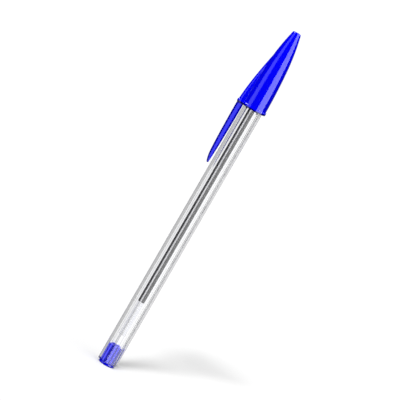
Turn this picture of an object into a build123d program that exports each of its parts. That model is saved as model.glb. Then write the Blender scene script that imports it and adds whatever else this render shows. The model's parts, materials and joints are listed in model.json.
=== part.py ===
# Stick ballpoint pen with a clear hexagonal barrel, in millimetres.
# It stands on its end plug at z = 0, +Z runs to the cap's end, and the clip is on the -X side.
import math
import os

from build123d import *

os.makedirs("parts", exist_ok=True)

# Barrel
hex_across_flats = 7.4
hex_turn = 11.0
hex_corner_round = 0.35
barrel_length = 132.4
bore_diameter = 4.8
barrel_end_chamfer = 0.15
nose_length = 4.5
nose_taper_length = 11.5
nose_wall = 1.35
barrel_vent_diameter = 1.0
barrel_vent_height = 72.0

# End plug
plug_flange_thickness = 1.15
plug_flange_inset = 0.35
plug_edge_round = 0.6
plug_shank_length = 7.55
plug_lead_in = 0.3
plug_wall = 0.8
plug_floor = 1.0

# Refill
ink_tube_bore = 1.35
ink_tube_wall = 0.5
ink_tube_tail = 12.3
ink_tail = 27.3
ink_meniscus = 0.35
tube_clearance = 0.2

# Tip holder and writing point
spigot_length = 5.0
spigot_chamfer = 0.2
collar_length = 4.5
holder_ledge = 0.45
holder_flange_thickness = 0.8
holder_cone_length = 6.0
ink_channel_diameter = 0.8
point_diameter = 2.2
point_length = 2.5
shank_diameter = 1.7
shank_length = 3.6
feed_diameter = 0.5
ball_diameter = 1.0
ball_clearance = 0.012
socket_wall = 0.11
lip_rise = 0.2
press = 0.02

# Cap hood
cap_mouth_clearance = 0.1
cap_mouth_wall = 0.59
cap_wall = 0.85
cap_seat_depth = 18.38
cap_tip_room = 3.0
cap_end_wall = 2.65
cap_end_diameter = 3.3
cap_end_round = 0.35
cap_shoulder_height = 19.2
cap_shoulder_drop = 0.83
cap_vent_diameter = 1.9
mouth_flange_height = 1.2
mouth_flange_overhang = 0.35
rib_count = 6
rib_width = 0.6
rib_clearance = 0.05
rib_stop_length = 4.0
rib_lead_in = 1.2

# Clip and fin
clip_length = 26.3
clip_width = 3.4
clip_thickness = 2.45
clip_gap = 0.23
clip_lean = 0.55
clip_nose_drop = 0.85
clip_splay = 0.5
clip_back_curve = 1.5
clip_edge_curve = 1.25
clip_back_flat = 0.12
fin_length = 21.7
fin_top_width = 2.0

# Heights along the pen
barrel_base = plug_flange_thickness
nose_top = barrel_base + barrel_length
nose_base = nose_top - nose_length
taper_base = nose_base - nose_taper_length
point_base = nose_top + holder_flange_thickness + holder_cone_length
shank_base = point_base - shank_length
spigot_base = nose_top - collar_length - spigot_length
ball_height = point_base + point_length
rim = nose_top - cap_seat_depth
cap_inside_top = ball_height + ball_diameter / 2 + cap_tip_room
cap_top = cap_inside_top + cap_end_wall

# Radii shared by pieces that fit each other
corner_radius = hex_across_flats / math.sqrt(3)
corner_reach = corner_radius - hex_corner_round * (2 / math.sqrt(3) - 1)
bore_radius = bore_diameter / 2
ink_radius = ink_tube_bore / 2
tube_radius = ink_radius + ink_tube_wall
nose_bore_radius = tube_radius + tube_clearance
nose_radius = nose_bore_radius + nose_wall
holder_radius = nose_radius - holder_ledge
channel_radius = ink_channel_diameter / 2
point_radius = point_diameter / 2
shank_radius = shank_diameter / 2
feed_radius = feed_diameter / 2
ball_radius = ball_diameter / 2
seat_radius = ball_radius + ball_clearance
mouth_radius = corner_reach + cap_mouth_clearance
hood_radius = mouth_radius + cap_mouth_wall
end_radius = cap_end_diameter / 2
clip_inner = corner_reach + clip_gap
clip_outer = clip_inner + clip_thickness
rib_radius = nose_radius + rib_clearance
stop_radius = holder_radius + 3 * rib_clearance


# The hood's outline is two arcs: upright at the rim, leaning in at the shoulder, and on to the end
shoulder = rim + cap_shoulder_height
shoulder_radius = hood_radius - cap_shoulder_drop
lean = 2 * math.atan(cap_shoulder_drop / cap_shoulder_height)
lower_arc = (cap_shoulder_height**2 + cap_shoulder_drop**2) / (2 * cap_shoulder_drop)
chord = math.hypot(shoulder_radius - end_radius, cap_top - shoulder)
turn_in = math.cos(lean) * (shoulder_radius - end_radius) - math.sin(lean) * (cap_top - shoulder)
upper_arc = chord**2 / (2 * turn_in)


# The hood's radius at a height, from the circle of the arc that the height is on
def hood_outer(height):
    if height < shoulder:
        return hood_radius - lower_arc + math.sqrt(lower_arc**2 - (height - rim) ** 2)
    middle = shoulder - upper_arc * math.sin(lean)
    return shoulder_radius - upper_arc * math.cos(lean) + math.sqrt(upper_arc**2 - (height - middle) ** 2)


# Barrel: a rounded hexagon turned down to a cone and a round nose, then bored and vented
with BuildPart() as barrel:
    with BuildSketch(Plane.XY.offset(barrel_base)) as hexagon:
        RegularPolygon(hex_across_flats / 2, 6, major_radius=False, rotation=hex_turn)
        fillet(hexagon.vertices(), hex_corner_round)
    extrude(amount=barrel_length)
    with BuildSketch(Plane.XZ):
        with BuildLine():
            Polyline(
                (0, barrel_base),
                (corner_reach - barrel_end_chamfer, barrel_base),
                (corner_radius, barrel_base + barrel_end_chamfer),
                (corner_radius, taper_base),
                (nose_radius, nose_base),
                (nose_radius, nose_top - barrel_end_chamfer),
                (nose_radius - barrel_end_chamfer, nose_top),
                (0, nose_top),
                close=True,
            )
        make_face()
    revolve(axis=Axis.Z, mode=Mode.INTERSECT)
    with BuildSketch(Plane.XZ):
        with BuildLine():
            Polyline(
                (0, barrel_base),
                (bore_radius, barrel_base),
                (bore_radius, taper_base),
                (nose_bore_radius, taper_base + 2 * (bore_radius - nose_bore_radius)),
                (nose_bore_radius, nose_top),
                (0, nose_top),
                close=True,
            )
        make_face()
    revolve(axis=Axis.Z, mode=Mode.SUBTRACT)
    with BuildSketch(Plane.XZ.rotated((0, 0, hex_turn))):
        with Locations((0, barrel_vent_height)):
            Circle(barrel_vent_diameter / 2)
    extrude(amount=-hex_across_flats, mode=Mode.SUBTRACT)
barrel.part.label = "barrel"
export_step(barrel.part, "parts/barrel.step")

# End plug: a flange with a foot rounded in three steps and a hollow shank pressed into the bore
with BuildPart() as end_plug:
    for turn in (0, 30, 60, 90):
        drop = plug_edge_round * (1 - math.sin(math.radians(turn)))
        with BuildSketch(Plane.XY.offset(plug_edge_round * (1 - math.cos(math.radians(turn))))):
            Circle(hex_across_flats / 2 - plug_flange_inset - drop)
    loft(ruled=True)
    with BuildSketch(Plane.XY.offset(plug_edge_round)):
        Circle(hex_across_flats / 2 - plug_flange_inset)
    extrude(amount=plug_flange_thickness - plug_edge_round)
    with BuildSketch(Plane.XY.offset(plug_flange_thickness)):
        Circle(bore_radius + press)
    extrude(amount=plug_shank_length)
    chamfer(end_plug.edges().group_by(Axis.Z)[-1], plug_lead_in)
    with BuildSketch(Plane.XY.offset(plug_flange_thickness + plug_floor)):
        Circle(bore_radius - plug_wall)
    extrude(amount=plug_shank_length, mode=Mode.SUBTRACT)
end_plug.part.label = "end_plug"
export_step(end_plug.part, "parts/end_plug.step")

# Ink tube: a plain tube pushed on to the tip holder's spigot
with BuildPart() as ink_tube:
    with BuildSketch(Plane.XY.offset(barrel_base + ink_tube_tail)):
        Circle(tube_radius)
        Circle(ink_radius, mode=Mode.SUBTRACT)
    extrude(amount=nose_top - collar_length - barrel_base - ink_tube_tail)
ink_tube.part.label = "ink_tube"
export_step(ink_tube.part, "parts/ink_tube.step")

# Ink: it fills the tube, the tip holder's channel and the feed hole behind the ball
with BuildPart() as ink_column:
    with BuildSketch(Plane.XZ):
        with BuildLine():
            TangentArc(
                (0, barrel_base + ink_tail + ink_meniscus),
                (ink_radius, barrel_base + ink_tail),
                tangent=(1, 0),
            )
            Polyline(
                (ink_radius, barrel_base + ink_tail),
                (ink_radius, spigot_base),
                (channel_radius, spigot_base),
                (channel_radius, shank_base),
                (feed_radius, shank_base),
                (feed_radius, ball_height - seat_radius),
                (0, ball_height - seat_radius),
                (0, barrel_base + ink_tail + ink_meniscus),
            )
        make_face()
    revolve(axis=Axis.Z)
ink_column.part.label = "ink_column"
export_step(ink_column.part, "parts/ink_column.step")

# Tip holder: spigot in the tube, collar in the nose, flange and cone in front of it
with BuildPart() as tip_holder:
    with BuildSketch(Plane.XZ):
        with BuildLine():
            Polyline(
                (channel_radius, spigot_base),
                (ink_radius + press - spigot_chamfer, spigot_base),
                (ink_radius + press, spigot_base + spigot_chamfer),
                (ink_radius + press, nose_top - collar_length),
                (nose_bore_radius + press, nose_top - collar_length),
                (nose_bore_radius + press, nose_top),
                (holder_radius, nose_top),
                (holder_radius, nose_top + holder_flange_thickness),
                (point_radius, point_base),
                (shank_radius, point_base),
                (shank_radius, shank_base),
                (channel_radius, shank_base),
                close=True,
            )
        make_face()
    revolve(axis=Axis.Z)
tip_holder.part.label = "tip_holder"
export_step(tip_holder.part, "parts/tip_holder.step")

# Ball socket: a shank, a cone and a spherical seat whose lip closes over the ball's middle
socket_radius = seat_radius + socket_wall
lip_radius = math.sqrt(seat_radius**2 - lip_rise**2)
seat_depth = math.sqrt(seat_radius**2 - feed_radius**2)
with BuildPart() as ball_socket:
    with BuildSketch(Plane.XZ):
        with BuildLine():
            Polyline(
                (feed_radius, ball_height - seat_depth),
                (feed_radius, shank_base),
                (shank_radius + press, shank_base),
                (shank_radius + press, point_base),
                (point_radius, point_base),
                (socket_radius, ball_height),
                (lip_radius + socket_wall / 2, ball_height + lip_rise),
                (lip_radius, ball_height + lip_rise),
            )
            RadiusArc(
                (lip_radius, ball_height + lip_rise),
                (feed_radius, ball_height - seat_depth),
                seat_radius,
            )
        make_face()
    revolve(axis=Axis.Z)
ball_socket.part.label = "ball_socket"
export_step(ball_socket.part, "parts/ball_socket.step")

# Ball
with BuildPart() as ball:
    with Locations((0, 0, ball_height)):
        Sphere(ball_radius)
ball.part.label = "ball"
export_step(ball.part, "parts/ball.step")

# Half-widths of the tongue's section, full at its inner face and narrowing to its back
def tongue(inner, outer, width):
    half = []
    for share in (0.0, 0.35, 0.7, 1.0):
        taper = (1 - share**clip_back_curve) ** (1 / clip_edge_curve)
        reach = width / 2 * (clip_back_flat + (1 - clip_back_flat) * taper)
        half.append((-inner - (outer - inner) * share, reach))
    return half + [(x, -y) for x, y in reversed(half)]


# Clip: tongue sections from its nose up to the rim, thinner and narrower towards the nose
with BuildPart() as clip:
    for share in (1.0, 0.97, 0.92, 0.84, 0.7, 0.4, 0.0):
        outer = clip_outer - clip_lean * share**2 - clip_nose_drop * share**12
        inner = clip_inner + clip_splay * share**2
        nose_share = max(0, share - 0.7) / 0.3
        width = clip_width * (1 - 0.2 * share) * math.sqrt(1 - 0.95 * nose_share**2)
        with BuildSketch(Plane.XY.offset(rim - clip_length * share)):
            Polygon(*tongue(inner, outer, width), align=None)
    loft(ruled=True)

# Fin: the clip's section carried up the hood until it sinks into it
with BuildPart() as fin:
    for share in (0.0, 0.2, 0.4, 0.6, 0.8, 1.0):
        outer = clip_outer + (hood_outer(rim + fin_length) - clip_outer) * share**1.5
        width = clip_width + (fin_top_width - clip_width) * share
        with BuildSketch(Plane.XY.offset(rim + fin_length * share)):
            Polygon(*tongue(outer - clip_thickness, outer, width), align=None)
    loft(ruled=True)

# Ribs: six strips inside the hood that grip the nose and stop on its front face
rib_top = nose_top + rib_stop_length
rib_base = nose_base - rib_lead_in
with BuildPart() as ribs:
    with BuildSketch(Plane.XZ):
        with BuildLine():
            Polyline(
                (hood_outer(rib_base) - cap_wall / 2, rib_base),
                (rib_radius + rib_lead_in / 2, rib_base),
                (rib_radius, nose_base),
                (rib_radius, nose_top),
                (stop_radius, nose_top),
                (stop_radius, rib_top),
                (hood_outer(rib_top) - cap_wall / 2, rib_top),
                close=True,
            )
        make_face()
    revolve(axis=Axis.Z)
    with BuildSketch(Plane.XY.offset(rib_base)):
        with PolarLocations(0, rib_count):
            Rectangle(hood_radius, rib_width, align=(Align.MIN, Align.CENTER))
    extrude(amount=rib_top - rib_base, mode=Mode.INTERSECT)

# Cap: the hood lofted along its two arcs, with its mouth flange, the fin and the clip in one moulding,
# hollowed and ribbed
bore_top = taper_base + 2.0
inside_shoulder = shoulder_radius - cap_wall
inside_radius = hood_outer(cap_inside_top) - cap_wall
with BuildPart() as cap:
    for step in range(9):
        below = min(step, 4) / 4 * cap_shoulder_height
        above = max(step - 4, 0) / 4 * (cap_top - cap_end_round - shoulder)
        with BuildSketch(Plane.XY.offset(rim + below + above)):
            Circle(hood_outer(rim + below + above))
    for turn in (45, 90):
        height = cap_top - cap_end_round * (1 - math.sin(math.radians(turn)))
        with BuildSketch(Plane.XY.offset(height)):
            Circle(hood_outer(height) - cap_end_round * (1 - math.cos(math.radians(turn))))
    loft(ruled=True)
    with BuildSketch(Plane.XY.offset(rim)):
        Circle(hood_radius + mouth_flange_overhang)
        flange_width = clip_width + 2 * mouth_flange_overhang
        Polygon(*tongue(clip_inner, clip_outer + mouth_flange_overhang, flange_width), align=None)
    extrude(amount=mouth_flange_height)
    add(fin.part)
    add(clip.part)
    with BuildSketch(Plane.XZ):
        with BuildLine():
            Polyline(
                (0, rim),
                (mouth_radius, rim),
                (mouth_radius, bore_top),
                (inside_shoulder, shoulder),
                (inside_radius, cap_inside_top),
                (0, cap_inside_top),
                close=True,
            )
        make_face()
    revolve(axis=Axis.Z, mode=Mode.SUBTRACT)
    with BuildSketch(Plane.XY.offset(cap_inside_top)):
        Circle(cap_vent_diameter / 2)
    extrude(amount=cap_end_wall, mode=Mode.SUBTRACT)
    add(ribs.part)
cap.part.label = "cap"
export_step(cap.part, "parts/cap.step")
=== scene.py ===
import json
import math

import bmesh
import bpy
import numpy as np
from mathutils import Matrix

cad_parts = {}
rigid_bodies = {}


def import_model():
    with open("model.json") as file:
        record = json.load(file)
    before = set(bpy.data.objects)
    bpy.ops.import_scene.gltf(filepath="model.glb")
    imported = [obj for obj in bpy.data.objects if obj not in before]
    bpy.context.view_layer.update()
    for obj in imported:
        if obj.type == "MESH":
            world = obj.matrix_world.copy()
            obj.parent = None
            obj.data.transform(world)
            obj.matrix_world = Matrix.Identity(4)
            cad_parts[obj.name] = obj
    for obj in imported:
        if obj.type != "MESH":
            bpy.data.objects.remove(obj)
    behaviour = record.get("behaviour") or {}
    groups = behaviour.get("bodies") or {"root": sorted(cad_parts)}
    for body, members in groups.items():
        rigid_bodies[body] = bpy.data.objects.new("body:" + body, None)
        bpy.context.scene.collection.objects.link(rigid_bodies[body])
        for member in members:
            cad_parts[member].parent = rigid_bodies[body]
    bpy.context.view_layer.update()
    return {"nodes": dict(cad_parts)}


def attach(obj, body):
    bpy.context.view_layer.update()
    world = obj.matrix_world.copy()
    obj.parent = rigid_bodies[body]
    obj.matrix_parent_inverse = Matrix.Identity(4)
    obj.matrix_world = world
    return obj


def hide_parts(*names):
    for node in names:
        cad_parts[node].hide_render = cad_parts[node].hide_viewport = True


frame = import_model()
mm = 0.001  # every size below is in millimetres
print("frame loaded with", len(frame["nodes"]), "nodes")


# A socket in a node tree: arithmetic on it adds Math nodes, and node() adds any other node
class Wire:
    def __init__(self, tree, socket=None):
        self.tree, self.socket = tree, socket

    def node(self, kind, settings=None, sockets=None, out=0):
        made = self.tree.nodes.new(kind)
        for key, value in (settings or {}).items():
            setattr(made, key, value)
        for key, value in (sockets or {}).items():
            if isinstance(value, Wire):
                self.tree.links.new(value.socket, made.inputs[key])
            else:
                made.inputs[key].default_value = value
        return Wire(self.tree, made.outputs[out] if len(made.outputs) else None)

    def math(self, operation, first, second=0.0):
        return self.node("ShaderNodeMath", {"operation": operation}, {0: first, 1: second})

    def __add__(self, other):
        return self.math("ADD", self, other)

    def __radd__(self, other):
        return self.math("ADD", other, self)

    def __sub__(self, other):
        return self.math("SUBTRACT", self, other)

    def __rsub__(self, other):
        return self.math("SUBTRACT", other, self)

    def __mul__(self, other):
        return self.math("MULTIPLY", self, other)

    def __rmul__(self, other):
        return self.math("MULTIPLY", other, self)

    def __gt__(self, other):
        return self.math("GREATER_THAN", self, other)

    def __lt__(self, other):
        return self.math("LESS_THAN", self, other)

    # colour a where the factor is 0, colour b where it is 1
    def blend(self, factor, a, b):
        return self.node("ShaderNodeMix", {"data_type": "RGBA"}, {0: factor, 6: a, 7: b}, 2)

    # the piece's own coordinates, in metres
    def place(self):
        return self.node("ShaderNodeTexCoord", None, None, 3)

    # the same as three sockets
    def coordinates(self):
        split = self.node("ShaderNodeSeparateXYZ", None, {0: self.place()}).socket.node
        return [Wire(self.tree, split.outputs[axis]) for axis in range(3)]

    # noise on the piece's own coordinates, stretched along the pen by the three scales (per metre)
    def grain(self, scales, detail=2.0, roughness=0.5):
        sized = self.node("ShaderNodeMapping", None, {"Vector": self.place(), "Scale": scales})
        return self.node("ShaderNodeTexNoise", None,
                         {"Vector": sized, "Scale": 1.0, "Detail": detail, "Roughness": roughness})

    # normal of a surface raised by a height, over a distance in metres
    def bump(self, height, strength, distance=0.00001):
        return self.node("ShaderNodeBump", None, {"Strength": strength, "Distance": distance, "Height": height})

    # value eased from 0 at low to 1 at high
    def ramp(self, value, low, high):
        return self.node("ShaderNodeMapRange", {"interpolation_type": "SMOOTHSTEP"},
                         {0: value, 1: low, 2: high, 3: 0.0, 4: 1.0})

    # 1 between two limits, eased over the margin on both sides of each
    def band(self, value, limits, margin):
        rise, fall = (self.ramp(value, limit - margin, limit + margin) for limit in limits)
        return rise - fall


def newFinish(name):
    finish = bpy.data.materials.new(name)
    finish.use_nodes = True
    finish.node_tree.nodes.clear()
    return finish, Wire(finish.node_tree)


def shadeWith(wire, sockets):
    surface = wire.node("ShaderNodeBsdfPrincipled", None, sockets)
    wire.node("ShaderNodeOutputMaterial", None, {"Surface": surface})


# Each grid is rows x columns of points: quads join neighbours, and a True closes rows or columns round.
# Poles are rows of equal points, which merge into one.
def pieceFrom(name, grids, finish, body, node, sharp=35):
    points, quads, count = [], [], 0
    for grid, closeRows, closeColumns in grids:
        rows, columns = grid.shape[:2]
        index = np.arange(rows * columns).reshape(rows, columns) + count
        above = np.roll(index, -1, 0)[: rows if closeRows else rows - 1]
        index = index[: len(above)]
        across = columns if closeColumns else columns - 1
        corner = (index, np.roll(index, -1, 1), np.roll(above, -1, 1), above)
        quads.append(np.stack([part[:, :across] for part in corner], -1).reshape(-1, 4))
        points.append(grid.reshape(-1, 3))
        count += rows * columns
    mesh = bpy.data.meshes.new(name)
    mesh.from_pydata((np.concatenate(points) * mm).tolist(), [], np.concatenate(quads).tolist())
    work = bmesh.new()
    work.from_mesh(mesh)
    bmesh.ops.remove_doubles(work, verts=work.verts, dist=1e-7)
    bmesh.ops.dissolve_degenerate(work, dist=1e-8, edges=work.edges)
    bmesh.ops.recalc_face_normals(work, faces=work.faces)
    work.to_mesh(mesh)
    work.free()
    piece = bpy.data.objects.new(name, mesh)
    bpy.context.scene.collection.objects.link(piece)
    smoothPiece(piece, sharp)
    if finish:
        piece.data.materials.append(finish)
        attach(piece, body)
        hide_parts(node)
        print("made", name, len(mesh.polygons), "faces")
    return piece


def smoothPiece(piece, sharp=35):
    piece.data.polygons.foreach_set("use_smooth", np.ones(len(piece.data.polygons), bool))
    piece.data.set_sharp_from_angle(angle=math.radians(sharp))


# Turned surface: a profile of (radius, height) points carried round the pen's axis
def turned(profile, columns=128):
    profile = np.asarray(profile, float)
    angle = np.linspace(0, 2 * np.pi, columns, endpoint=False)
    radius, height = profile[:, :1], profile[:, 1:]
    return np.stack([radius * np.cos(angle), radius * np.sin(angle), height + 0 * angle], -1)


# Arc of a profile: centre plus radius times the cosine and sine of evenly spaced angles
def arc(centre, radius, start, end, steps=8):
    angle = np.radians(np.linspace(start, end, steps + 1))
    return np.stack([centre[0] + radius * np.cos(angle), centre[1] + radius * np.sin(angle)], 1)


# Points turned about the pen's axis
def spun(points, degrees):
    c, s = math.cos(math.radians(degrees)), math.sin(math.radians(degrees))
    return points @ np.array([[c, s], [-s, c]])


# Clear barrel: a hold is how far from a crease the row lies that keeps it crisp
barrel = {
    "acrossFlats": 7.4, "cornerRound": 0.35, "turn": 11.0, "base": 1.15, "top": 133.55, "foot": 4.068,
    "footRise": 0.15, "footHold": 0.2, "rings": (5, 115, 23), "taperBase": 117.55, "noseBase": 129.05,
    "noseRadius": 2.725, "noseChamfer": 0.15, "chamferHold": 0.02, "hold": 0.03,
    "bore": 2.4, "noseBore": 1.375, "boreStep": 119.6, "ventHeight": 72.0, "ventRadius": 0.5, "ventReach": (1.2, 5.0),
    # the corner numbers set the painted shade on the barrel's round corners
    "cornerShadeReach": 3.8, "cornerShadeRamp": (0.67, 0.91), "cornerShadeColour": (0.62, 0.62, 0.65, 1),
}


# Rounded hexagon: six corner arcs of 60 degrees, each followed by a straight flat to the next arc
def hexOutline(sizes):
    centre = (sizes["acrossFlats"] / 2 - sizes["cornerRound"]) / math.cos(math.pi / 6)
    corner = arc((centre, 0), sizes["cornerRound"], -30, 30)
    share = np.concatenate([[0.006], np.linspace(0.07, 0.93, 13), [0.994]])[:, None]  # the ends keep a flat flat
    flat = corner[-1] * (1 - share) + spun(corner[:1], 60) * share
    side = np.concatenate([corner, flat])
    return np.concatenate([spun(side, sizes["turn"] + 60 * k) for k in range(6)])


# Barrel: each row is a radius and a height for every column; the outside is the hexagon cut by the foot
# cone and by the nose cone, with a row along each cut, and the inside is the bore
def barrelGrid(sizes):
    outline = hexOutline(sizes)
    reach = np.hypot(outline[:, 0], outline[:, 1])
    heading = outline / reach[:, None]
    sharpCorner = sizes["acrossFlats"] / math.sqrt(3)
    base, top, foot, same = sizes["base"], sizes["top"], sizes["foot"], np.ones_like(reach)
    nose, noseBase, chamfer = sizes["noseRadius"], sizes["noseBase"], sizes["noseChamfer"]
    footCut = base + sizes["footRise"] * np.clip((reach - foot) / (sharpCorner - foot), 0, 1)
    fall = (noseBase - sizes["taperBase"]) / (sharpCorner - nose)
    noseCut = sizes["taperBase"] + (sharpCorner - reach) * fall
    hold, inward = sizes["hold"], sizes["hold"] / fall
    rows = [(np.minimum(reach, foot), base * same), (reach, footCut), (reach, same * (base + sizes["footHold"]))]
    rows += [(reach, same * height) for height in np.linspace(*sizes["rings"])]
    rows += [(reach, noseCut - hold), (reach, noseCut), (reach - inward, noseCut + hold)]
    rows += [(same * radius, same * height) for radius, height in (
        (nose + inward, noseBase - hold), (nose, noseBase), (nose, noseBase + hold),
        (nose, top - chamfer - sizes["chamferHold"]), (nose, top - chamfer), (nose - chamfer, top),
        (sizes["noseBore"], top), (sizes["noseBore"], sizes["boreStep"]), (sizes["bore"], sizes["taperBase"]),
        (sizes["bore"], base))]
    radius, height = (np.array(part) for part in zip(*rows))
    return np.concatenate([radius[..., None] * heading, height[..., None]], -1)


barrelFinish, wire = newFinish("barrelClear")
haze = wire.grain((900, 900, 60), 3.0)
draw = wire.grain((2500, 2500, 25), 1.0)
x, y = wire.coordinates()[:2]
# painted shade: the six round corners, beyond a reach from the axis, get a darker tint in the colour
turn = wire.math("ARCTAN2", y, x) - math.radians(barrel["turn"])
outside = x * x + y * y > (barrel["cornerShadeReach"] * mm) ** 2
corner = wire.ramp(wire.math("COSINE", 6 * turn), *barrel["cornerShadeRamp"]) * outside
clear = wire.blend(haze, (0.985, 0.988, 1.0, 1), (0.995, 0.996, 1.0, 1))
shadeWith(wire, {
    "Base Color": wire.blend(corner, clear, barrel["cornerShadeColour"]),  # painted shade: the round corners are tinted darker, standing in for the dark lines the glass bends into them
    "Roughness": 0.002 * wire.ramp(haze, 0.55, 0.8), "Normal": wire.bump(draw, 0.002),
    "IOR": 1.45, "Transmission Weight": 1.0,
})
barrelPiece = pieceFrom("barrelTube", [(barrelGrid(barrel), True, True)], barrelFinish,
                        "pen", "barrel")

# vent hole through the flat at the back
near, far = barrel["ventReach"]
drill = turned([(0, near), (barrel["ventRadius"], near), (barrel["ventRadius"], far), (0, far)], 48)
drill = np.concatenate([spun(drill[..., [0, 2]], barrel["turn"]), barrel["ventHeight"] + drill[..., 1:2]], -1)
cutter = pieceFrom("ventDrill", [(drill, False, True)], None, None, None)
cut = barrelPiece.modifiers.new("vent", "BOOLEAN")
cut.operation, cut.solver, cut.object = "DIFFERENCE", "EXACT", cutter
bored = bpy.data.meshes.new_from_object(barrelPiece.evaluated_get(bpy.context.evaluated_depsgraph_get()))
barrelPiece.modifiers.clear()
barrelPiece.data = bored
bpy.data.objects.remove(cutter)
smoothPiece(barrelPiece)
print("barrel bored and vented:", len(bored.polygons), "faces")


# Moulded blue plastic: flow streaks in the colour, handling haze in the gloss, a faint moulded skin, and painted shade
# and sheen where the values ask for them
def bluePlastic(name, values):
    finish, wire = newFinish(name)
    streak = wire.grain(values["streak"], 3.0, 0.6)
    smear = wire.grain((700, 700, 180), 4.0, 0.65)
    skin = wire.grain((9000, 9000, 5000), 2.0)
    colour = wire.blend(wire.ramp(streak, 0.3, 0.7), values["deep"], values["light"])
    if "flutes" in values:  # painted sheen and shade: the shank is painted paler and whiter, with darker bands along its ribs, standing in for reflections and shade seen through the barrel
        x, y, z = wire.coordinates()
        turn = wire.math("ARCTAN2", y, x) - math.radians(values["fluteTurn"])
        rib = 0.5 + 0.5 * wire.math("COSINE", turn * values["flutes"])
        shank = wire.ramp(z, values["fluteBase"] * mm, (values["fluteBase"] + values["fluteEase"]) * mm)
        colour = wire.blend(shank, colour, values["shankSheenColour"])
        colour = wire.blend(wire.ramp(rib, *values["ribShadeRamp"]) * shank, colour, values["ribShadeColour"])
    if "edge" in values:  # painted shade: the clip's inner edges, its back and the flange's lip are painted darker where shade falls
        x, y, z = wire.coordinates()
        rim, (near, far) = cap["rim"] * mm, values["edge"]
        below = z < rim
        inner = wire.ramp(x, -far * mm, -near * mm) * below
        flank = wire.ramp(wire.math("ABSOLUTE", y), *(size * mm for size in values["flank"]))
        colour = wire.blend(inner * flank, colour, values["edgeShadeColour"])
        down = (rim - z) * (1 / (tongue["clipLength"] * mm))
        blunt = wire.math("POWER", wire.math("ABSOLUTE", down), tongue["dropPower"])
        depth = x + (tongue["outer"] - (tongue["lean"] * down * down + tongue["noseDrop"] * blunt)) * mm
        spine = (1 - wire.ramp(depth, *(size * mm for size in values["spine"]))) * below
        lip = (1 - wire.ramp(z, *(rim + size * mm for size in values["lip"]))) * (1 - below)
        colour = wire.blend(spine, colour, values["spineShadeColour"])
        colour = wire.blend(lip, colour, values["lipShadeColour"])
    shadeWith(wire, {
        "Base Color": colour,
        "Roughness": values["gloss"] + values["haze"] * wire.ramp(smear, 0.5, 0.75),
        "Normal": wire.bump(skin, values["skin"]), "IOR": 1.5,
    })
    return finish


# End plug
plug = {
    "flange": 3.35, "edge": 0.4, "edgeRise": 0.7, "floor": 1.15, "press": 2.42, "pressRise": 0.5, "pressEase": 0.1,
    "shank": 2.415, "leadIn": 0.12, "ribs": 10, "rib": 0.01, "ribTurn": 25.4, "end": 8.7, "hollow": 1.6,
    "hollowFloor": 2.15, "gate": 0.45, "gateDepth": 0.08, "bevel": 0.05, "hold": 0.02,
}
plugBlue = {
    "deep": (0.0, 0.0, 0.5, 1), "light": (0.0, 0.0, 0.6, 1), "streak": (500, 500, 90),
    "gloss": 0.06, "haze": 0.05, "skin": 0.03, "flutes": plug["ribs"], "fluteTurn": plug["ribTurn"],
    # the shank's pale tint and the dark rib bands below are painted sheen and painted shade
    "fluteBase": plug["floor"], "fluteEase": 0.3, "ribShadeRamp": (0.3, 0.8),
    "shankSheenColour": (0.08, 0.08, 1.0, 1), "ribShadeColour": (0.0, 0.0, 0.42, 1),
}


# Plug: a turned profile, with the shank's radius raised and lowered round it by a cosine for its grip ribs
def plugGrid(sizes, columns=192):
    flange, foot, floor = sizes["flange"], sizes["flange"] - sizes["edge"], sizes["floor"]
    press, seat, shank = sizes["press"], floor + sizes["pressRise"], sizes["shank"]
    end, leadIn, hollow, gate = sizes["end"], sizes["leadIn"], sizes["hollow"], sizes["gate"]
    bevel, hold = sizes["bevel"], sizes["hold"]
    profile = np.concatenate([
        [(0, sizes["gateDepth"]), (gate, sizes["gateDepth"]), (gate + bevel, 0), (foot - hold, 0)],
        (foot, sizes["edgeRise"]) + arc((0, 0), 1, -90, 0) * (sizes["edge"], sizes["edgeRise"]),
        [(flange, floor - bevel), (flange - bevel, floor), (press, floor), (press, seat)],
        [(shank, seat + sizes["pressEase"]), (shank, end - leadIn - hold), (shank, end - leadIn)],
        [(shank - leadIn, end), (hollow + bevel, end), (hollow, end - bevel)],
        [(hollow, sizes["hollowFloor"]), (0, sizes["hollowFloor"])],
    ])
    grid, angle = turned(profile, columns), np.linspace(0, 2 * np.pi, columns, endpoint=False)
    wave = np.cos(sizes["ribs"] * (angle - math.radians(sizes["ribTurn"])))
    grid[..., :2] *= (1 + (profile[:, :1] == shank) * wave * sizes["rib"] / shank)[..., None]
    return grid


pieceFrom("endPlug", [(plugGrid(plug), False, True)], bluePlastic("plugPlastic", plugBlue),
          "pen", "end_plug")

# Ink tube
tube = {"bore": 0.675, "outside": 1.175, "tail": 13.45, "top": 129.05, "rim": 0.06}
tubeFinish, wire = newFinish("tubeTranslucent")
cloud = wire.grain((600, 600, 120), 3.0)
line = wire.grain((3000, 3000, 20), 1.0)
shadeWith(wire, {
    "Base Color": wire.blend(cloud, (0.96, 0.965, 0.99, 1), (0.985, 0.988, 1.0, 1)),
    "Roughness": 0.005 + 0.01 * wire.ramp(cloud, 0.4, 0.7), "Normal": wire.bump(line, 0.02),
    "IOR": 1.5, "Transmission Weight": 1.0,
})
tubeProfile = [
    (tube["bore"], tube["tail"] + tube["rim"]), (tube["bore"] + tube["rim"], tube["tail"]),
    (tube["outside"] - tube["rim"], tube["tail"]), (tube["outside"], tube["tail"] + tube["rim"]),
    (tube["outside"], tube["top"] - tube["rim"]), (tube["outside"] - tube["rim"], tube["top"]),
    (tube["bore"] + tube["rim"], tube["top"]), (tube["bore"], tube["top"] - tube["rim"]),
]
pieceFrom("inkTube", [(turned(tubeProfile), True, True)], tubeFinish, "pen", "ink_tube")

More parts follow.
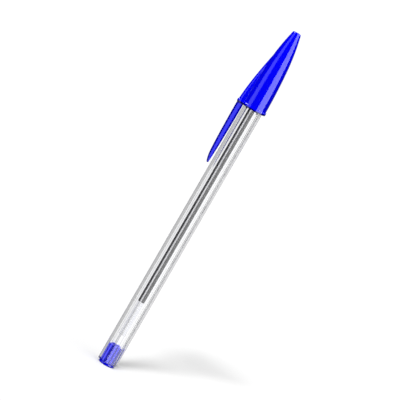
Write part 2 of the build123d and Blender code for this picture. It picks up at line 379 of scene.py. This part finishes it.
# Ink: it wets the tube's bore, so its radius is a hair over the bore's
ink = {
    "radius": 0.68, "tail": 28.45, "meniscus": 0.35, "hold": 0.03, "spigotBase": 124.05, "channel": 0.4,
    "shankBase": 136.75, "feed": 0.25, "end": 142.338,
}
inkFinish, wire = newFinish("inkBlack")
settle = wire.grain((400, 400, 60), 3.0)
shadeWith(wire, {
    "Base Color": wire.blend(settle, (0.006, 0.006, 0.009, 1), (0.02, 0.02, 0.03, 1)),
    "Roughness": 0.08 + 0.1 * settle, "IOR": 1.45,
})
dome = (ink["radius"] ** 2 + ink["meniscus"] ** 2) / (2 * ink["meniscus"])  # the meniscus is part of a sphere
spread = math.degrees(math.asin(ink["radius"] / dome))
inkProfile = np.concatenate([
    arc((0, ink["tail"] + ink["meniscus"] - dome), dome, 90, 90 - spread),
    [(ink["radius"], ink["tail"] + ink["hold"]), (ink["radius"], ink["spigotBase"])],
    [(ink["channel"], ink["spigotBase"]), (ink["channel"], ink["shankBase"])],
    [(ink["feed"], ink["shankBase"]), (ink["feed"], ink["end"]), (0, ink["end"])],
])
pieceFrom("inkColumn", [(turned(inkProfile, 96), False, True)], inkFinish, "pen", "ink_column")


# Turned metal: rings left by the lathe in the bump and the gloss, tarnish in the colour
def turnedMetal(name, values):
    finish, wire = newFinish(name)
    rings = wire.grain((40, 40, values["rings"]), 2.0, 0.7)
    tarnish = wire.grain((1500, 1500, 900), 4.0, 0.6)
    shadeWith(wire, {
        "Base Color": wire.blend(wire.ramp(tarnish, 0.45, 0.8), values["bright"], values["dull"]),
        "Roughness": values["gloss"] + 0.15 * rings + 0.12 * wire.ramp(tarnish, 0.5, 0.8),
        "Metallic": 1.0, "Normal": wire.bump(rings, values["cut"], 0.00002),
    })
    return finish


# Brass tip holder
holder = {
    "channel": 0.4, "spigot": 0.695, "spigotBase": 124.05, "spigotBevel": 0.2, "collar": 1.395, "collarBase": 129.05,
    "flange": 2.275, "flangeBevel": 0.06, "flangeTop": 134.35, "flangeStep": 0.05, "flangeRise": 0.02, "edge": 0.08,
    "noseTop": 133.55, "point": 1.1, "pointBase": 140.35, "pointEdge": 0.04, "shank": 0.85, "shankBase": 136.75,
}
brass = {"bright": (0.70, 0.48, 0.20, 1), "dull": (0.50, 0.33, 0.13, 1), "rings": 9000, "cut": 0.25, "gloss": 0.3}


def holderProfile(sizes):
    channel, spigot, base, bevel = (sizes[key] for key in ("channel", "spigot", "spigotBase", "spigotBevel"))
    flange, nose, top, edge = (sizes[key] for key in ("flange", "noseTop", "flangeTop", "edge"))
    point, pointBase, shank, shankBase = (sizes[key] for key in ("point", "pointBase", "shank", "shankBase"))
    return [
        (channel, base), (spigot - bevel, base), (spigot, base + bevel), (spigot, sizes["collarBase"]),
        (sizes["collar"], sizes["collarBase"]), (sizes["collar"], nose),
        (flange - sizes["flangeBevel"], nose), (flange, nose + sizes["flangeBevel"]), (flange, top - edge),
        (flange - sizes["flangeStep"], top), (flange - edge, top + sizes["flangeRise"]),
        (point + sizes["pointEdge"], pointBase - edge), (point, pointBase), (shank, pointBase),
        (shank, shankBase), (channel, shankBase),
    ]


pieceFrom("tipHolder", [(turned(holderProfile(holder)), True, True)], turnedMetal("tipBrass", brass),
          "pen", "tip_holder")

# Ball socket and ball
socket = {
    "feed": 0.25, "shank": 0.87, "shankBase": 136.75, "point": 1.1, "pointBase": 140.35, "pointBevel": 0.03,
    "seat": 0.512, "wall": 0.11, "lip": 0.2, "ballHeight": 142.85, "ball": 0.5,
}
nickel = {"bright": (0.32, 0.31, 0.30, 1), "dull": (0.22, 0.21, 0.20, 1), "rings": 14000, "cut": 0.2, "gloss": 0.4}
carbide = {"bright": (0.20, 0.20, 0.22, 1), "dull": (0.14, 0.14, 0.16, 1), "rings": 3000, "cut": 0.03, "gloss": 0.2}
lipRadius = math.sqrt(socket["seat"] ** 2 - socket["lip"] ** 2)
lipAngle = math.degrees(math.asin(socket["lip"] / socket["seat"]))
feedAngle = -math.degrees(math.acos(socket["feed"] / socket["seat"]))
socketProfile = np.concatenate([
    [(socket["feed"], socket["shankBase"]), (socket["shank"], socket["shankBase"])],
    [(socket["shank"], socket["pointBase"]), (socket["point"] - socket["pointBevel"], socket["pointBase"])],
    [(socket["point"], socket["pointBase"] + socket["pointBevel"])],
    [(socket["seat"] + socket["wall"], socket["ballHeight"])],
    [(lipRadius + socket["wall"] / 2, socket["ballHeight"] + socket["lip"])],
    arc((0, socket["ballHeight"]), socket["seat"], lipAngle, feedAngle, 16),
])
pieceFrom("ballSocket", [(turned(socketProfile, 96), True, True)], turnedMetal("socketNickel", nickel),
          "pen", "ball_socket")
ballProfile = arc((0, socket["ballHeight"]), socket["ball"], -90, 90, 32)
pieceFrom("writingBall", [(turned(ballProfile, 64), False, True)], turnedMetal("ballCarbide", carbide),
          "ball", "ball")

# Cap
cap = {
    "rim": 115.17, "top": 149.0, "hood": 4.94, "shoulderRise": 19.2, "shoulderDrop": 0.83, "endRadius": 1.65,
    "endRound": 0.35, "mouth": 4.318, "mouthEase": (0.15, 0.3), "boreTop": 119.55, "wall": 0.85, "insideTop": 146.35,
    "vent": 0.95, "ventBevel": 0.1, "flangeHeight": 1.2, "flangeOut": 0.31, "flangeEdge": 0.2, "flangeUnder": 0.12,
    "flangeRoot": 0.12, "tabFillet": 0.3,
}
tongue = {
    "inner": 4.448, "outer": 6.99, "tab": 7.24, "width": 3.4, "clipWidth": 3.8, "clipCurve": 1.4, "clipEdge": 1.45,
    "finWidth": 3.0, "finLength": 21.7, "finTopWidth": 2.0, "finRoot": 0.3, "finPower": 1.5, "clipLength": 26.3,
    "lean": 0.55, "noseDrop": 0.85, "dropPower": 12, "noseFrom": 0.7, "noseSpan": 0.3, "noseClose": 0.95, "taper": 0.2,
    "splay": 0.5, "edge": 0.08,
}
capBlue = {
    "deep": (0.0, 0.0, 0.64, 1), "light": (0.0, 0.0, 0.70, 1), "streak": (260, 260, 40),
    # edge, flank, spine and lip set where the painted shade lies on the clip and on the flange's lip
    "gloss": 0.04, "haze": 0.02, "skin": 0.01, "edge": (4.9, 5.5), "flank": (1.2, 1.45),
    "edgeShadeColour": (0.0, 0.0, 0.28, 1), "spine": (0.3, 0.8), "spineShadeColour": (0.0, 0.0, 0.27, 1),
    "lip": (0.45, 0.7), "lipShadeColour": (0.0, 0.0, 0.12, 1),
}


# Hood radius at a height: upright circle arc from the rim to the shoulder, then a second tangent arc to the end
def hoodRadius(height):
    shoulder, drop, rise = cap["rim"] + cap["shoulderRise"], cap["shoulderDrop"], cap["shoulderRise"]
    shoulderRadius, lean = cap["hood"] - drop, 2 * math.atan(drop / rise)
    lower = (rise ** 2 + drop ** 2) / (2 * drop)
    inward, up = shoulderRadius - cap["endRadius"], cap["top"] - shoulder
    upper = (inward ** 2 + up ** 2) / (2 * (math.cos(lean) * inward - math.sin(lean) * up))
    low = cap["hood"] - lower + np.sqrt(lower ** 2 - np.minimum(height - cap["rim"], rise) ** 2)
    middle = shoulder - upper * math.sin(lean)
    high = shoulderRadius - upper * math.cos(lean) + np.sqrt(upper ** 2 - (np.maximum(height, shoulder) - middle) ** 2)
    return np.where(height < shoulder, low, high)


# Radius at which a ray from the axis leaves a tongue: straight sides at the half width, and beyond the inner
# distance the curve (X/depth)^2 + (Y/half)^2 = 1, with X measured from there: found by halving an interval
def tongueRadius(angle, inner, outer, half):
    low, high = 0 * (angle + inner + outer + half), 12 + 0 * (angle + inner + outer + half)
    for _ in range(40):
        middle = (low + high) / 2
        depth = np.maximum(middle * np.cos(angle) - inner, 0) / (outer - inner)
        side = np.abs(middle * np.sin(angle)) / half
        inside = depth ** 2 + side ** 2 < 1
        low, high = np.where(inside, middle, low), np.where(inside, high, middle)
    return np.where(np.abs(angle) < np.pi / 2, low, 0)


# Greater of two radii, with a fillet of about the given size where they cross
def filletedMax(first, second, size):
    share = np.clip(0.5 + (first - second) / (2 * size), 0, 1)
    return first * share + second * (1 - share) + size * share * (1 - share)


# Hood with the fin at an angle (from the clip's side) and a height
def hoodAndFin(angle, height):
    share = np.clip((height - cap["rim"]) / tongue["finLength"], 0, 1)
    hood = hoodRadius(height)
    inward = hoodRadius(cap["rim"] + tongue["finLength"]) - tongue["outer"]
    outer = tongue["outer"] + inward * share ** tongue["finPower"]
    half = (tongue["finWidth"] + (tongue["finTopWidth"] - tongue["finWidth"]) * share) / 2
    fin = tongueRadius(angle, outer - half, outer, half)
    fin = np.where(height > cap["rim"] + tongue["finLength"], 0, fin)
    size = np.clip(0.4 * (outer - hood), 0.01, tongue["finRoot"])
    return filletedMax(fin, hood, size)


# Flange outline at an angle: the hood's circle and the tongue's section, both made larger
def flangeRadius(angle):
    out = cap["flangeOut"]
    tab = tongueRadius(angle, tongue["inner"], tongue["tab"], tongue["width"] / 2 + out)
    return filletedMax(tab, cap["hood"] + out + 0 * angle, cap["tabFillet"])


# Cap moulding: rows run from the mouth over the flange, up the hood, over the end, down the vent and the cavity
def capGrid():
    degrees = np.concatenate([np.linspace(-40, 40, 161), np.linspace(42.5, 317.5, 111)])
    angle = np.radians((degrees + 180) % 360 - 180)
    same, rim, edge, root = np.ones_like(angle), cap["rim"], cap["flangeEdge"], cap["flangeRoot"]
    under, vent, (inset, lead) = cap["flangeUnder"], cap["vent"], cap["mouthEase"]
    flange, deck, end = flangeRadius(angle), cap["rim"] + cap["flangeHeight"], cap["endRound"]
    quarter = np.radians(np.linspace(0, 90, 7))
    rows = [((cap["mouth"] + inset) * same, rim * same)]
    rows += [(flange - under + under * math.sin(a), (rim + under - under * math.cos(a)) * same) for a in quarter]
    rows += [(flange - edge + edge * math.cos(a), (deck - edge + edge * math.sin(a)) * same) for a in quarter]
    rows += [(hoodAndFin(angle, deck) + root - root * math.sin(a), (deck + root - root * math.cos(a)) * same)
             for a in quarter]
    heights = np.linspace(deck + root, cap["top"] - end, 90)[1:]
    rows += [(hoodAndFin(angle, height), height * same) for height in heights]
    rows += [((hoodRadius(cap["top"] - end + end * math.sin(a)) - end + end * math.cos(a)) * same,
              (cap["top"] - end + end * math.sin(a)) * same) for a in quarter[1:]]
    shoulder = cap["rim"] + cap["shoulderRise"]
    rows += [(radius * same, height * same) for radius, height in (
        (vent + cap["ventBevel"], cap["top"]), (vent, cap["top"] - cap["ventBevel"]), (vent, cap["insideTop"]),
        (hoodRadius(cap["insideTop"]) - cap["wall"], cap["insideTop"]),
        (hoodRadius(shoulder) - cap["wall"], shoulder), (cap["mouth"], cap["boreTop"]), (cap["mouth"], rim + lead))]
    radius, height = (np.array(part) for part in zip(*rows))
    return np.stack([-radius * np.cos(angle), -radius * np.sin(angle), height], -1)


# Clip: the tongue's section carried down from the flange, leaning in and closing to a blunt nose
def clipGrid():
    share = np.concatenate([np.linspace(-0.02, 0.86, 60), np.linspace(0.87, 1, 30)])[:, None]
    down = np.maximum(share, 0)
    outer = tongue["outer"] - tongue["lean"] * down ** 2 - tongue["noseDrop"] * down ** tongue["dropPower"]
    inner = tongue["inner"] + tongue["splay"] * down ** 2
    nose = np.maximum(down - tongue["noseFrom"], 0) / tongue["noseSpan"]
    half = tongue["clipWidth"] / 2 * (1 - tongue["taper"] * down) * np.sqrt(1 - tongue["noseClose"] * nose ** 2)
    edge = np.minimum(tongue["edge"], 0.3 * (outer - inner))
    t = np.linspace(0, np.pi / 2, 28)
    backX, backY = np.cos(t) ** (2 / tongue["clipCurve"]), np.sin(t) ** (2 / tongue["clipEdge"])
    x = inner + edge + (outer - inner - edge) * backX
    y = half * backY
    turn = np.radians(np.linspace(0, 90, 7))[1:]
    x = np.concatenate([x, inner + edge - edge * np.sin(turn)], 1)
    y = np.concatenate([y, half - edge + edge * np.cos(turn)], 1)
    x, y = np.concatenate([x, x[:, :0:-1]], 1), np.concatenate([y, -y[:, :0:-1]], 1)
    z = cap["rim"] - tongue["clipLength"] * share + 0 * x
    ring = np.stack([-x, y, z], -1)
    ends = ring[[0, -1]].mean(1, keepdims=True) + 0 * ring[[0, -1]]
    return np.concatenate([ends[:1], ring, ends[1:]])


# Ribs: one strip's outline carried across its width, its two sides closed on a point inside, turned to six places
def ribGrids():
    shape = {"base": 127.85, "nose": 129.05, "top": 133.55, "end": 137.55, "grip": 2.775, "stop": 2.425, "width": 0.6,
             "leadIn": 0.6, "sink": 0.6, "heart": (2.95, 135.0), "count": 6}
    inside = [hoodRadius(np.array(z)) - shape["sink"] * cap["wall"] for z in (shape["base"], shape["end"])]
    outline = np.array([
        (inside[0], shape["base"]), (shape["grip"] + shape["leadIn"], shape["base"]), (shape["grip"], shape["nose"]),
        (shape["grip"], shape["top"]), (shape["stop"], shape["top"]), (shape["stop"], shape["end"]),
        (inside[1], shape["end"])], float)
    heart = np.array(shape["heart"]) + 0 * outline
    radius, height = np.stack([heart, outline, outline, heart], 1).transpose(2, 0, 1)
    across = np.array([-0.5, -0.5, 0.5, 0.5]) * shape["width"] + 0 * radius
    turns = np.radians(360 / shape["count"] * np.arange(shape["count"]))
    return [(np.stack([radius * math.cos(a) - across * math.sin(a), radius * math.sin(a) + across * math.cos(a),
                       height], -1), True, False) for a in turns]


pieceFrom("capMoulding", [(capGrid(), True, True), (clipGrid(), False, True)] + ribGrids(),
          bluePlastic("capPlastic", capBlue), "cap", "cap", 40)

# Camera at the photograph's angle: turned to the clip's side, a little above, rolled so the pen leans to the right
shot = {"azimuth": -7.6, "elevation": 8.7, "roll": 30.03, "distance": 1.0, "frame": 0.1541, "pixels": 400,
        "sensor": 36, "aim": 0.0745, "right": 0.56, "up": -0.3}
azimuth, elevation, roll = (math.radians(shot[key]) for key in ("azimuth", "elevation", "roll"))
back = np.array([math.sin(azimuth) * math.cos(elevation), -math.cos(azimuth) * math.cos(elevation),
                 math.sin(elevation)])
level = np.cross((0, 0, 1), back) / np.linalg.norm(np.cross((0, 0, 1), back))
rise = np.cross(back, level)
right = level * math.cos(roll) + rise * math.sin(roll)
up = rise * math.cos(roll) - level * math.sin(roll)
pixel = shot["frame"] / shot["pixels"]
aim = np.array([0, 0, shot["aim"]]) - right * shot["right"] * pixel - up * shot["up"] * pixel
place = np.eye(4)
place[:3, 0], place[:3, 1], place[:3, 2], place[:3, 3] = right, up, back, aim + back * shot["distance"]
lens = bpy.data.cameras.new("photoCamera")
lens.sensor_width, lens.lens = shot["sensor"], shot["sensor"] * shot["distance"] / shot["frame"]
lens.clip_start, lens.clip_end = 0.01, 200
camera = bpy.data.objects.new("photoCamera", lens)
bpy.context.scene.collection.objects.link(camera)
camera.matrix_world = Matrix(place.tolist())
bpy.context.scene.camera = camera
bpy.context.scene.view_settings.view_transform = "Standard"
print("camera set")

# Studio: white floor, one soft sun in three shares, a room whose soft boxes show only in reflections, and a white
# backdrop that the clear pieces show only where they bend the view to the back
studio = {
    "floor": 40.0, "floorWhite": 0.65, "seen": 1.05, "gloss": 0.02,
    "room": 0.36, "bounce": 1.0, "bounceFrom": (0.62, 0.5, 0.6),  # towards the camera, to its right, up
    "behind": 0.95, "behindFrom": (86, 98),  # the backdrop that the clear pieces show
    "front": 0.6, "frontBoxes": 0.06,  # the room before it
    "rim": 0.7, "rimFrom": (148, 156),  # the backdrop in glancing reflections
    "boxMargin": (3, 2), "cardMargin": 2,  # degrees over which a box's sides and ends and a card's sides ease off
    "sun": (1.6, 1.65), "sunHeight": 50.0, "sunTurn": 22.5, "sunSize": 10.0,
}
cards = [{"turn": (141, 149), "shade": 0.54}, {"turn": (-153, -140), "shade": 0.7}]  # grey cards on the backdrop
boxes = [  # turn from the camera's side to the right, height above level, both as from and to, and brightness
    {"turn": (29, 87), "height": (-40, 55), "glow": 4.3},
    {"turn": (-71, -36), "height": (-40, 55), "glow": 1.25},
    {"turn": (88, 118), "height": (22, 60), "glow": 14.0},
    {"turn": (-112, -82), "height": (22, 60), "glow": 14.0},
]
floorMesh = bpy.data.meshes.new("studioFloor")
half = studio["floor"] / 2
floorMesh.from_pydata([(-half, -half, 0), (half, -half, 0), (half, half, 0), (-half, half, 0)], [], [(0, 1, 2, 3)])
floor = bpy.data.objects.new("studioFloor", floorMesh)
bpy.context.scene.collection.objects.link(floor)
floorFinish, wire = newFinish("floorWhite")
white = studio["floorWhite"]
shadeWith(wire, {"Base Color": (white, white, white, 1), "Roughness": 0.9, "Specular IOR Level": 0.0})
floorMesh.materials.append(floorFinish)
floor.visible_glossy = floor.visible_transmission = floor.visible_diffuse = False  # no light from below

# light travels away from the camera and turned to its right, so the shadow runs about level in the picture
away = np.array([-back[0], -back[1], 0]) / np.hypot(back[0], back[1])
sunTurn, sunHeight = math.radians(studio["sunTurn"]), math.radians(studio["sunHeight"])
along = away * math.cos(sunTurn) + level * math.sin(sunTurn)
travel = along * math.cos(sunHeight) - np.array([0, 0, math.sin(sunHeight)])
side = np.cross((0, 0, 1), -travel)
side /= np.linalg.norm(side)
aimSun = np.eye(4)
aimSun[:3, 0], aimSun[:3, 1], aimSun[:3, 2] = side, np.cross(-travel, side), -travel
shading = bpy.data.collections.new("castShade")  # all but the clear barrel, which lets half of the sun through
inside = bpy.data.collections.new("insideBarrel")  # what stands in it, and gets the other half as well
for piece in bpy.context.scene.collection.objects:
    if piece.type == "MESH" and piece != barrelPiece:
        shading.objects.link(piece)
    if piece.name in ("endPlug", "inkTube", "inkColumn"):
        inside.objects.link(piece)
softPower, clearPower = studio["sun"]
suns = [("softSun", softPower, None, None), ("clearSun", clearPower, shading, None),
        ("insideSun", softPower, shading, inside)]
for name, power, blockers, lit in suns:
    sunLamp = bpy.data.lights.new(name, "SUN")
    sunLamp.energy, sunLamp.angle = power, math.radians(studio["sunSize"])
    sun = bpy.data.objects.new(name, sunLamp)
    bpy.context.scene.collection.objects.link(sun)
    sun.matrix_world = Matrix(aimSun.tolist())
    sun.visible_glossy = sun.visible_transmission = False  # no sparkle in the clear pieces
    sun.light_linking.blocker_collection, sun.light_linking.receiver_collection = blockers, lit

room = bpy.data.worlds.new("whiteRoom")
room.use_nodes = True
room.node_tree.nodes.clear()
wire = Wire(room.node_tree)
heading = wire.node("ShaderNodeTexCoord", None, None, 0)
sideways, toward, lift = (
    wire.node("ShaderNodeVectorMath", {"operation": "DOT_PRODUCT"}, {0: heading, 1: tuple(axis)}, 1)
    for axis in (level, -away, (0, 0, 1)))
swing = wire.math("ARCTAN2", sideways, toward) * (180 / math.pi)
tilt = wire.math("ARCSINE", lift) * (180 / math.pi)
turnedBack = wire.math("ABSOLUTE", swing)
shine, (sideMargin, endMargin) = studio["gloss"], studio["boxMargin"]
for box in boxes:
    within = wire.band(swing, box["turn"], sideMargin) * wire.band(tilt, box["height"], endMargin)
    shine = shine + within * box["glow"]
clear = studio["front"] + shine * studio["frontBoxes"]
clear = clear + wire.ramp(turnedBack, *studio["behindFrom"]) * (studio["behind"] - clear)
for card in cards:
    clear = clear + wire.band(swing, card["turn"], studio["cardMargin"]) * (card["shade"] - clear)
shine = shine + wire.ramp(turnedBack, *studio["rimFrom"]) * (studio["rim"] - shine)
ahead, across, above = studio["bounceFrom"]
bounce = wire.math("MAXIMUM", toward * ahead + sideways * across + lift * above, 0.0)
light = studio["room"] + bounce * studio["bounce"]
for ray, strength in (("Is Glossy Ray", shine), ("Is Transmission Ray", clear), ("Is Camera Ray", studio["seen"])):
    light = light + wire.node("ShaderNodeLightPath", None, None, ray) * (strength - light)
sky = wire.node("ShaderNodeBackground", None, {"Color": (1, 1, 1, 1), "Strength": light})
wire.node("ShaderNodeOutputWorld", None, {"Surface": sky})
bpy.context.scene.world = room
print("studio set")
